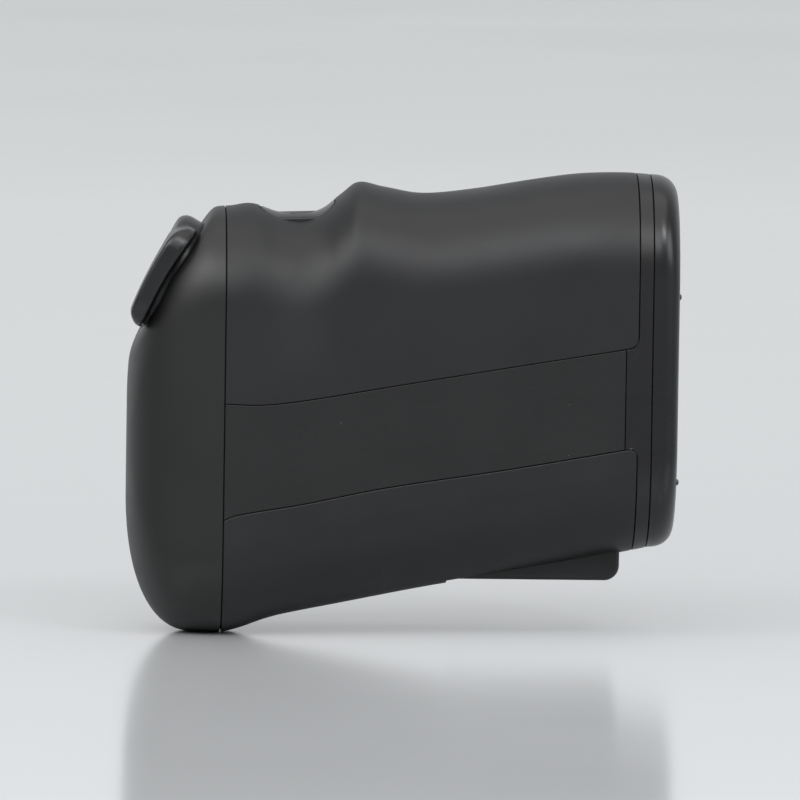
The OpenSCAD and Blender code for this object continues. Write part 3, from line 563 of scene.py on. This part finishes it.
def rear_cover():
    """Cover as rays from its middle to the body surface or to the slanted eyepiece face."""
    wall = 2.3
    loop = ring_points([cover_x1], 150)[0]
    ways = loop[:, 1:] - [0, 40]
    ways /= np.linalg.norm(ways, axis=1, keepdims=True)
    flat = np.c_[np.zeros(len(ways)), ways]
    eye_const = np.dot([eye_x, 0, axis_z], EYE)
    outer, inner, near = [], [], []
    rows = [(e, 90) for e in EDGE] + [(EDGE[-1], a) for a in np.concatenate([
        np.linspace(90, 4, 118)[1:], [2.5, 1.2]])]
    for e, angle in rows:
        origin = np.array([cover_x1 - e, 0, 40.0])
        way = flat * math.sin(math.radians(angle)) + np.array([-1, 0, 0]) * math.cos(math.radians(angle))
        body = reach(origin, way)
        facing = way @ EYE
        eye = np.where(facing < -1e-6, (eye_const - origin @ EYE) / np.minimum(facing, -1e-6), 1e3)
        side = np.abs(np.minimum(eye, 90) * way[:, 1])
        hit = origin + np.minimum(eye, 90)[:, None] * way
        eye = eye + np.where(facing < -1e-6, lip(hit, side) / np.maximum(-facing, 0.2), 0)
        r = smooth_min(body, np.minimum(eye, 200), 1.2)
        outer.append(origin + r[:, None] * way)
        inner.append(origin + np.maximum(r - wall, 1)[:, None] * way)
        near.append(np.full(len(r), e if angle == 90 else DEEP))
    outer, inner, near = np.array(outer), np.array(inner), np.array(near)
    n = normals(outer, True)
    outer = outer - edge_depth(near, SEAM_EDGE)[..., None] * n
    m, c = outer.shape[:2]
    k = m * c
    faces = grid_faces(m, c, True) + grid_faces(m, c, True, k, True)
    faces += [(i, (i + 1) % c, (i + 1) % c + k, i + k) for i in range(c)]
    tip_o = [float(v) for v in outer[-1].mean(0)]
    tip_i = [float(v) for v in inner[-1].mean(0)]
    points = np.concatenate([outer.reshape(-1, 3), inner.reshape(-1, 3), [tip_o, tip_i]])
    last = (m - 1) * c
    faces += [(last + i, last + (i + 1) % c, 2 * k) for i in range(c)]
    faces += [(k + last + i, k + last + (i + 1) % c, 2 * k + 1) for i in range(c)]
    obj = new_object("cover_rear", points, faces)
    bore = lathe("bore", [(-60, 8.56), (-30, 8.56)], (0, 0, axis_z))
    return cut(obj, bore)


# ---------- front bezel ----------
def bore_cutter(name, y, z, r):
    """Stepped bore with a small chamfer on the front face."""
    profile = [(40, r + 0.5), (47.4, r + 0.5), (47.4, r), (front_x - 0.45, r), (front_x + 0.05, r + 0.5),
               (front_x + 2, r + 0.5)]
    return lathe(name, profile, (0, y, z), n=144)


def front_bezel():
    """Front shell with a rounded nose, hollow behind, and three bores for the windows."""
    u = 1 - (1 - np.linspace(0, 1, 34)) ** 2.2
    level = stations(bezel_x0, nose_x, 0.3, True, False)
    xs = np.concatenate([level, nose_x + (front_x - nose_x) * u[1:]])
    points = ring_points(xs)
    near = points[..., 0] - bezel_x0
    points = points - edge_depth(near, SEAM_EDGE)[..., None] * normals(points, True)
    points[-1, :, 0] = front_x
    obj = closed("bezel", points)
    wall, depths = 2.0, [bezel_x0 - 1, nose_x, 45.6]
    inner = ring_points(depths)
    inner = inner - wall * normals(inner, True) * [0, 1, 1]
    inner[:, :, 0] = np.array(depths)[:, None]
    cut(obj, closed("hollow", inner), bore_cutter("b0", 0, axis_z, 10.3),
        bore_cutter("b1", 0, receiver_z, 8.1), bore_cutter("b2", emitter_y, emitter_z, 2.5))
    return obj


# ---------- eyecup ----------
def on_eye(obj):
    """From the eyepiece face's own frame (X up the slope, Z out of the face) to the shared frame."""
    up, out = Vector(UP_EYE), -Vector(EYE)
    m = Matrix((up, out.cross(up), out)).transposed().to_4x4()
    m.translation = Vector((eye_x, 0, axis_z)) * MM
    obj.data.transform(m)
    return obj


def shield(side, t, outer, under):
    """Side shield: a leaf between two curves over the slope t, with rounded corners in plan."""
    near, far, half, middle = 2.4, 14.8, 6.2, 8.6
    leaf = block("leaf", list(zip(t, outer)) + list(zip(t[::-1], under[::-1])), near * side, far * side)
    plan = outline_rr((t[-1] - t[0]) / 2, half, 5) + [(t[0] + t[-1]) / 2, side * middle]
    keep = np.array([np.c_[plan, np.full(len(plan), z)] for z in (-1, 9)])
    return boolean(leaf, [closed("keep", keep)], "INTERSECT")


def eyecup():
    """Rubber cup: a round pad thick towards the brow, and an arched shield on each side."""
    rounded = [(-1, 11), (2.7, 11), (3.3, 10.8), (3.9, 10.3), (4.3, 9.6), (4.6, 8.4)]
    pad = lathe("eyecup_soft", rounded, (0.9, 0, 0), (0, 0, 1), 96)
    slope = cube("slope", -40, 30, -20, 20, 4, 14)
    slope.data.transform(Matrix.Translation(Vector((8, 0, 0)) * MM)
                         @ Matrix.Translation(Vector((0, 0, 4)) * MM)
                         @ Matrix.Rotation(math.radians(-7), 4, "Y")
                         @ Matrix.Translation(Vector((0, 0, -4)) * MM))
    cut(pad, slope)
    t = np.linspace(-9.2, 10.6, 50)
    ends = 0.35 * np.maximum(-7 - t, 0) ** 2 + 0.2 * np.maximum(t - 7.5, 0) ** 2
    temple = shield(-1, t, 4.75 - 0.0085 * (t - 3) ** 2 - ends, 1.55 - 0.009 * (t - 1) ** 2)
    t = np.linspace(-3.8, 10.6, 30)
    nasal = shield(1, t, np.sqrt(400 - (t - 5) ** 2) - 17.4, np.full(30, -0.3))
    boolean(pad, [temple, nasal], "UNION")
    on_eye(pad)
    cut(pad, lathe("mouth", [(-60, 8.8), (-30, 8.8)], (0, 0, axis_z)))
    mod = pad.modifiers.new("remesh", "REMESH")
    mod.mode = "VOXEL"
    mod.voxel_size = 0.22 * MM
    mod = pad.modifiers.new("soften", "SMOOTH")
    mod.iterations = 45
    apply(pad)
    return pad


def dioptre_ring():
    """Ring inside the cup that focuses the ocular: fine ribs on its rim and a coned mouth."""
    rib_x, rib_depth, rib_count = -39.9, 0.12, 36

    def ribs(x, r, angle):
        return rib_depth * (np.cos(angle * rib_count) - 1) * (abs(x - rib_x) < 0.5) * (r > 8)
    profile = [(-32.5, 7.66), (-32.5, 8.42), (-33, 8.5), (-39.4, 8.5), (-39.7, 8.5), (-40, 8.45),
               (-40.35, 8.1), (-40.45, 7.8), (-40.45, 7.1), (-40.3, 6.8), (-39.9, 6.5), (-39.2, 6.42),
               (-39.2, 7.66), (-32.5, 7.66)]
    m, n = len(profile), 216
    angle = np.linspace(0, 2 * math.pi, n, endpoint=False)
    rings = []
    for x, r in profile[:-1]:
        rr = r + ribs(x, r, angle)
        rings.append(np.stack([np.full(n, x), rr * np.cos(angle), rr * np.sin(angle) + axis_z], axis=1))
    points = np.array(rings)
    faces = grid_faces(m - 1, n, True)
    last = (m - 2) * n
    faces += [(last + i, last + (i + 1) % n, (i + 1) % n, i) for i in range(n)]
    return new_object("dioptre_dial", points.reshape(-1, 3), faces)


# ---------- buttons ----------
def crown_z(x, y):
    """Height of the upper surface over the point (x, y)."""
    t = crown(x)
    low, high = t - section_r + 0.1, t
    for _ in range(40):
        mid = (low + high) / 2
        ok = side_y(x, mid) > np.abs(y)
        low, high = np.where(ok, mid, low), np.where(ok, high, mid)
    return low


def fire_button():
    """Rubber key with a soft edge, following the crown, with three raised finger bars."""
    sunk, skirt = 0.02, (72.4, 73.0)
    steps = np.array([0, 0.04, 0.12, 0.25, 0.42, 0.62, 0.9, 1.3, 1.8, 2.4])
    rings = []
    for z in skirt:
        o = outline_rr(fire_hx, fire_hy, fire_r)
        rings.append(np.c_[o + [fire_x, 0], np.full(len(o), z)])
    for e in steps:
        o = outline_rr(fire_hx - e, fire_hy - e, fire_r - e) + [fire_x, 0]
        rings.append(np.c_[o, crown_z(o[:, 0], o[:, 1]) - sunk - edge_depth(e, 0.3)])
    base = outline_rr(fire_hx - steps[-1], fire_hy - steps[-1], fire_r - steps[-1])
    for k in np.linspace(0.96, 0.02, 26):
        o = base * k
        bar = sum(np.exp(-((o[:, 0] - c) / 0.32) ** 4) for c in (-1.6, 0, 1.6))
        bar = bar * step01((2.6 - np.abs(o[:, 1])) / 0.5) * 0.1
        o = o + [fire_x, 0]
        rings.append(np.c_[o, crown_z(o[:, 0], o[:, 1]) - sunk + bar])
    obj = closed("fire_key", np.array(rings))
    flanged = [(70.1, 2.2), (70.9, 2.2), (70.9, 3.6), (71.6, 3.6), (71.6, 2.2), (73.2, 2.2)]
    stem = lathe("fire_stem", flanged, (fire_x, 0, 0), (0, 0, 1), 64)
    return boolean(obj, [stem], "UNION")


def mode_button():
    """Round rubber key on the left flank with a dished face."""
    y1 = mode_hi[1]
    edge = 0.6
    stem = [(3.7, 2.9), (3.35, 2.9), (3.35, 2.0), (2.95, 2.0), (2.95, mode_r), (edge, mode_r)]
    profile = [(y1 - down, r) for down, r in stem]
    profile += [(y1 - edge + edge * math.sin(a), mode_r - edge + edge * math.cos(a))
                for a in np.linspace(0.2, 1.5, 7)]
    profile += [(y1 - 0.35 * (1 - (r / 2.4) ** 2), r) for r in (2.4, 2, 1.5, 1, 0.5, 0.05)]
    return lathe("mode_key", profile, (mode_x, 0, mode_z), (0, 1, 0), 96)


def refined(node, name, width):
    """A CAD node's shape with its flat faces joined and its edges softly broken."""
    obj = bpy.data.objects.new(name, frame["nodes"][node].data.copy())
    bpy.context.scene.collection.objects.link(obj)
    obj.data.materials.clear()
    bm = bmesh.new()
    bm.from_mesh(obj.data)
    bmesh.ops.remove_doubles(bm, verts=bm.verts, dist=1e-6)
    bmesh.ops.dissolve_limit(bm, angle_limit=math.radians(1), verts=bm.verts, edges=bm.edges)
    bm.to_mesh(obj.data)
    bm.free()
    return bevel(obj, width, 2, 40)


# ---------- materials ----------
class Nodes:
    """Short-hand for building a node material around one Principled shader."""

    def __init__(self, name, colour, rough, **sockets):
        self.mat = bpy.data.materials.new(name)
        self.mat.use_nodes = True
        self.tree = self.mat.node_tree
        self.shader = self.tree.nodes["Principled BSDF"]
        self.shader.inputs["Base Color"].default_value = (*colour, 1)
        self.shader.inputs["Roughness"].default_value = rough
        for key, value in sockets.items():
            self.shader.inputs[key.replace("_", " ")].default_value = value
        self.place = self.tree.nodes.new("ShaderNodeTexCoord").outputs["Object"]
        self.height = None

    def node(self, kind, **values):
        made = self.tree.nodes.new("ShaderNode" + kind)
        for key, value in values.items():
            if hasattr(made, key):
                setattr(made, key, value)
            else:
                made.inputs[key.replace("_", " ")].default_value = value
        return made

    def link(self, a, b):
        self.tree.links.new(a, b)
        return b.node

    def noise(self, scale, detail=3.0, stretch=None, rough=0.5):
        made = self.node("TexNoise", Scale=scale, Detail=detail, Roughness=rough)
        source = self.place
        if stretch:
            mapping = self.node("Mapping")
            mapping.inputs["Scale"].default_value = stretch
            self.link(source, mapping.inputs["Vector"])
            source = mapping.outputs[0]
        self.link(source, made.inputs["Vector"])
        return made.outputs["Fac"]

    def remap(self, fac, a, b, c, d):
        made = self.node("MapRange")
        for key, value in (("From Min", a), ("From Max", b), ("To Min", c), ("To Max", d)):
            made.inputs[key].default_value = value
        self.link(fac, made.inputs["Value"])
        return made.outputs["Result"]

    def tint(self, fac, low, high):
        """Base colour between two shades."""
        mix = self.node("Mix", data_type="RGBA")
        self.link(fac, mix.inputs[0])
        mix.inputs[6].default_value = (*low, 1)
        mix.inputs[7].default_value = (*high, 1)
        self.link(mix.outputs[2], self.shader.inputs["Base Color"])
        return mix

    def add_over(self, mix, fac, colour):
        """A further colour laid over the base colour where fac is high."""
        over = self.node("Mix", data_type="RGBA")
        self.link(fac, over.inputs[0])
        self.link(mix.outputs[2], over.inputs[6])
        over.inputs[7].default_value = (*colour, 1)
        self.link(over.outputs[2], self.shader.inputs["Base Color"])
        return over

    def roughness(self, fac, low, high):
        self.link(self.remap(fac, 0.3, 0.7, low, high), self.shader.inputs["Roughness"])

    def bump(self, fac, strength, distance):
        made = self.node("Bump", Strength=strength, Distance=distance)
        self.link(fac, made.inputs["Height"])
        if self.height:
            self.link(self.height, made.inputs["Normal"])
        self.height = made.outputs[0]
        self.link(self.height, self.shader.inputs["Normal"])

    def specks(self, scale, size, share):
        """Sparse tiny dots: the centres of a few cells of a cell pattern."""
        cells = self.node("TexVoronoi", Scale=scale)
        self.link(self.place, cells.inputs["Vector"])
        dot = self.remap(cells.outputs["Distance"], size * 0.6, size, 1, 0)
        split = self.node("SeparateColor")
        self.link(cells.outputs["Color"], split.inputs[0])
        chosen = self.remap(split.outputs[0], share, share * 0.98, 0, 1)
        both = self.node("Math", operation="MULTIPLY")
        self.link(dot, both.inputs[0])
        self.link(chosen, both.inputs[1])
        return both.outputs[0]


def shade(colour, k):
    """The colour made k times as light."""
    return tuple(c * k for c in colour)


def moulded(name, colour, rough, grain, depth, vary=0.14, dust=0.0, scuff=0.0, **sockets):
    """Moulded plastic or rubber: fine grain, slow tone and gloss changes, a little dust, soft scuffs."""
    m = Nodes(name, colour, rough, **{"Specular_IOR_Level": 0.42, **sockets})
    cloud = m.noise(38, 4, rough=0.6)
    mix = m.tint(m.remap(cloud, 0.3, 0.7, 0, 1), shade(colour, 1 - vary), shade(colour, 1 + vary))
    if dust:
        mix = m.add_over(mix, m.remap(m.specks(620, 0.05, dust), 0, 1, 0, 0.55), (0.35, 0.36, 0.38))
    if scuff:
        streak = m.noise(26, 5, (1, 1, 0.35), 0.65)
        fine = m.noise(900, 2, (0.12, 1, 1))
        both = m.node("Math", operation="MULTIPLY")
        m.link(m.remap(streak, 0.55, 0.75, 0, 1), both.inputs[0])
        m.link(m.remap(fine, 0.5, 0.75, 0, 1), both.inputs[1])
        m.add_over(mix, m.remap(both.outputs[0], 0, 1, 0, scuff), shade(colour, 3.2))
    m.roughness(m.noise(55, 5, rough=0.6), rough - 0.05, rough + 0.06)
    m.bump(m.noise(grain, 2), depth, 0.00004)
    m.bump(m.noise(420, 3), depth * 0.5, 0.00003)
    return m.mat


def metal(name, colour, rough, brushed=True):
    """Metal with fine lines along x, or with an even grain."""
    m = Nodes(name, colour, rough, Metallic=1.0)
    lines = m.noise(2600, 3, (0.06, 1, 1) if brushed else None)
    m.tint(lines, shade(colour, 0.82), shade(colour, 1.12))
    m.roughness(m.noise(150, 4), rough - 0.06, rough + 0.1)
    m.bump(lines, 0.12, 0.00002)
    return m.mat


def glass(name, colour, coat):
    """Coated optical glass: clear, with the tinted reflection of its coating."""
    m = Nodes(name, colour, 0.02, Transmission_Weight=1.0, IOR=1.52, Coat_Weight=0.6,
              Coat_Roughness=0.02, Coat_IOR=1.9, Coat_Tint=(*coat, 1))
    m.tint(m.noise(60, 3), shade(colour, 0.97), colour)
    m.bump(m.noise(900, 2), 0.01, 0.000005)
    return m.mat


def board():
    """Green laminate with fine copper tracks under the mask."""
    m = Nodes("board_green", (0.02, 0.12, 0.06), 0.35)
    tracks = m.node("TexBrick", Scale=260.0)
    tracks.inputs["Mortar Size"].default_value = 0.03
    m.link(m.place, tracks.inputs["Vector"])
    m.tint(m.remap(tracks.outputs["Fac"], 0, 1, 0, 1), (0.015, 0.10, 0.05), (0.05, 0.22, 0.10))
    m.bump(tracks.outputs["Fac"], 0.2, 0.00003)
    return m.mat


def cell_wrap():
    """Printed sleeve of the cell: pale body with a darker band, no lettering."""
    m = Nodes("cell_sleeve", (0.6, 0.6, 0.57), 0.3, Coat_Weight=0.3)
    split = m.node("SeparateXYZ")
    m.link(m.place, split.inputs[0])
    m.tint(m.remap(split.outputs[0], 0.0285, 0.0287, 0, 1), (0.62, 0.60, 0.56), (0.12, 0.13, 0.15))
    m.bump(m.noise(300, 3), 0.05, 0.00002)
    return m.mat


materials = {
    "casing_plastic": moulded("casing_black", (0.006, 0.006, 0.0065), 0.36, 5200, 0.10,
                              dust=0.02, scuff=0.5),
    "grip_rubber": moulded("grip_rubber", (0.006, 0.0062, 0.007), 0.48, 9000, 0.10, 0.07,
                           dust=0.010, scuff=0.10),
    "panel_plastic": moulded("panel_grain", (0.0045, 0.0046, 0.005), 0.50, 4200, 0.42, 0.12,
                             dust=0.05, scuff=0.35),
    "cover_plastic": moulded("cover_satin", (0.0082, 0.0083, 0.0082), 0.42, 7600, 0.06, 0.06,
                             dust=0.012, scuff=0.05),
    "bezel_plastic": moulded("bezel_black", (0.007, 0.007, 0.0078), 0.30, 6400, 0.05, 0.06,
                             dust=0.012, scuff=0.15),
    "eyecup_rubber": moulded("eyecup_rubber", (0.008, 0.0082, 0.009), 0.33, 9000, 0.08, 0.08),
    "seal_rubber": moulded("seal_rubber", (0.018, 0.018, 0.018), 0.7, 6000, 0.2),
    "dioptre_plastic": moulded("dioptre_black", (0.03, 0.03, 0.032), 0.45, 6000, 0.12, dust=0.02),
    "inner_plastic": moulded("inner_black", (0.045, 0.045, 0.048), 0.5, 3000, 0.15),
    "flex_film": moulded("amber_film", (0.45, 0.22, 0.05), 0.3, 1800, 0.05, Coat_Weight=0.4),
    "optical_glass": glass("coated_glass", (0.86, 0.90, 0.93), (0.45, 0.30, 0.75)),
    "dark_steel": metal("black_oxide", (0.10, 0.10, 0.11), 0.35),
    "steel": metal("plain_steel", (0.60, 0.60, 0.62), 0.28),
    "spring_steel": metal("spring_wire", (0.55, 0.55, 0.57), 0.25, False),
    "chassis_metal": metal("cast_alloy", (0.42, 0.42, 0.44), 0.45, False),
    "tube_metal": metal("black_anodised", (0.05, 0.05, 0.055), 0.4),
    "detector_metal": metal("gold_flash", (0.70, 0.58, 0.30), 0.3, False),
    "contact_metal": metal("nickel_plate", (0.72, 0.68, 0.58), 0.25),
    "board_laminate": board(),
    "cell_wrap": cell_wrap(),
}
receiver_glass = glass("receiver_glass", (0.75, 0.25, 0.28), (0.8, 0.2, 0.25))

# every CAD node takes the material of its slot
for part in frame["record"]["subparts"]:
    node = frame["nodes"][part["node"]]
    node.data.materials.clear()
    node.data.materials.append(materials[part["material_slot"]])
for name in ("receiver_window", "emitter_window"):
    frame["nodes"][name].data.materials.clear()
    frame["nodes"][name].data.materials.append(receiver_glass)


def place(obj, slot, body, *nodes, angle=32):
    """Gives a finished piece its material and its body, and hides the CAD nodes that it stands for."""
    obj.data.materials.clear()
    obj.data.materials.append(materials[slot])
    smooth(obj, angle)
    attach(obj, body)
    if nodes:
        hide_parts(*nodes)
    return obj


place(casing_core(), "casing_plastic", "housing", "main_casing")
place(casing_rim(), "casing_plastic", "housing")
place(casing_strip(-1), "casing_plastic", "housing")
place(casing_strip(1), "casing_plastic", "housing")
place(casing_foot(), "casing_plastic", "housing")
place(upper_grip(), "grip_rubber", "housing", "upper_grip")
place(lower_grip(), "grip_rubber", "housing", "lower_grip")
place(panel(-1), "panel_plastic", "housing", "side_panel_right")
place(panel(1), "panel_plastic", "housing", "side_panel_left")
place(rear_cover(), "cover_plastic", "housing", "rear_cover")
place(front_bezel(), "bezel_plastic", "housing", "front_bezel")
place(eyecup(), "eyecup_rubber", "housing", "eyecup", angle=60)
place(dioptre_ring(), "dioptre_plastic", "dioptre", "dioptre_ring")
place(fire_button(), "eyecup_rubber", "fire", "fire_button")
place(mode_button(), "eyecup_rubber", "mode", "mode_button")
place(refined("battery_door", "door_outer", 0.15), "casing_plastic", "door", "battery_door")
place(refined("door_latch", "door_catch", 0.10), "inner_plastic", "catch", "door_latch")
place(refined("lanyard_bar", "lanyard_anchor", 0.12), "dark_steel", "housing", "lanyard_bar")


# ---------- stage, light and camera ----------
def stage():
    """Wide pale table top, painted lighter towards the far side: painted light that blends it into the
    bright room behind.
    """
    radius, count = 5, 96
    angle = np.linspace(0, 2 * math.pi, count, endpoint=False)
    mesh = bpy.data.meshes.new("table")
    mesh.from_pydata([(radius * math.cos(a), radius * math.sin(a), 0) for a in angle], [],
                     [tuple(range(count))])
    obj = bpy.data.objects.new("table", mesh)
    bpy.context.scene.collection.objects.link(obj)
    m = Nodes("table_top", (0.47, 0.48, 0.49), 0.15)
    across = m.node("SeparateXYZ")
    m.link(m.place, across.inputs[0])
    # painted light: the colour rises from grey near the instrument to almost white far behind it, in
    # place of light falling on the far side
    m.tint(m.remap(across.outputs[1], 0.15, 1.1, 0, 1), (0.46, 0.47, 0.48), (0.84, 0.85, 0.86))
    m.roughness(m.noise(6, 4), 0.13, 0.17)
    m.bump(m.noise(1400, 2), 0.12, 0.00006)
    obj.data.materials.append(m.mat)


def area_light(name, at, aim, size, power, colour=(1, 1, 1), size_y=None):
    data = bpy.data.lights.new(name, "AREA")
    data.energy = power
    data.color = colour
    data.shape = "RECTANGLE"
    data.size = size
    data.size_y = size_y or size
    obj = bpy.data.objects.new(name, data)
    bpy.context.scene.collection.objects.link(obj)
    obj.location = at
    obj.rotation_euler = (Vector(aim) - Vector(at)).to_track_quat("-Z", "Y").to_euler()
    return obj


def lights():
    """Even room light and five soft lamps."""
    world = bpy.data.worlds.new("room")
    world.use_nodes = True
    world.node_tree.nodes["Background"].inputs[0].default_value = (0.85, 0.87, 0.885, 1)
    nodes, links = world.node_tree.nodes, world.node_tree.links
    # the room is brighter behind the instrument than behind the camera
    kinds = ("TexCoord", "SeparateXYZ", "MapRange")
    way, split, level = (nodes.new("ShaderNode" + kind) for kind in kinds)
    links.new(way.outputs["Generated"], split.inputs[0])
    links.new(split.outputs[1], level.inputs["Value"])
    for key, value in (("From Min", -0.2), ("From Max", 0.8), ("To Min", 0.28), ("To Max", 0.82)):
        level.inputs[key].default_value = value
    links.new(level.outputs["Result"], nodes["Background"].inputs[1])
    bpy.context.scene.world = world
    middle = (0, 0, 0.04)
    area_light("overhead", (0, -0.15, 1.1), middle, 1.6, 7.5, (1, 0.99, 0.98), 1.2)
    area_light("front_high", (-0.2, -1.5, 1.15), middle, 1.7, 19, (0.98, 0.99, 1), 0.9)
    area_light("key", (0.85, -1.05, 1.2), middle, 0.35, 7)
    area_light("rear_side", (-0.8, -0.65, 0.8), middle, 0.6, 7)
    area_light("nose_side", (0.9, -0.45, 0.45), middle, 0.5, 3, (0.92, 0.95, 1))


def camera():
    """Long lens at the photograph's angle."""
    azimuth, elevation, roll, distance = math.radians(-2.2), math.radians(5), math.radians(0.85), 2.0
    data = bpy.data.cameras.new("camera")
    data.sensor_width = 36
    data.lens = 504
    data.clip_end = 20
    obj = bpy.data.objects.new("camera", data)
    bpy.context.scene.collection.objects.link(obj)
    back = Vector((math.sin(azimuth) * math.cos(elevation), -math.cos(azimuth) * math.cos(elevation),
                   math.sin(elevation)))
    aim = Vector((-0.25, 0, 41.7)) * MM
    turn = (-back).to_track_quat("-Z", "Y").to_matrix() @ Matrix.Rotation(roll, 3, "Z")
    obj.matrix_world = Matrix.Translation(aim + back * distance) @ turn.to_4x4()
    bpy.context.scene.camera = obj


stage()
lights()
camera()
bpy.context.scene.view_settings.view_transform = "Standard"
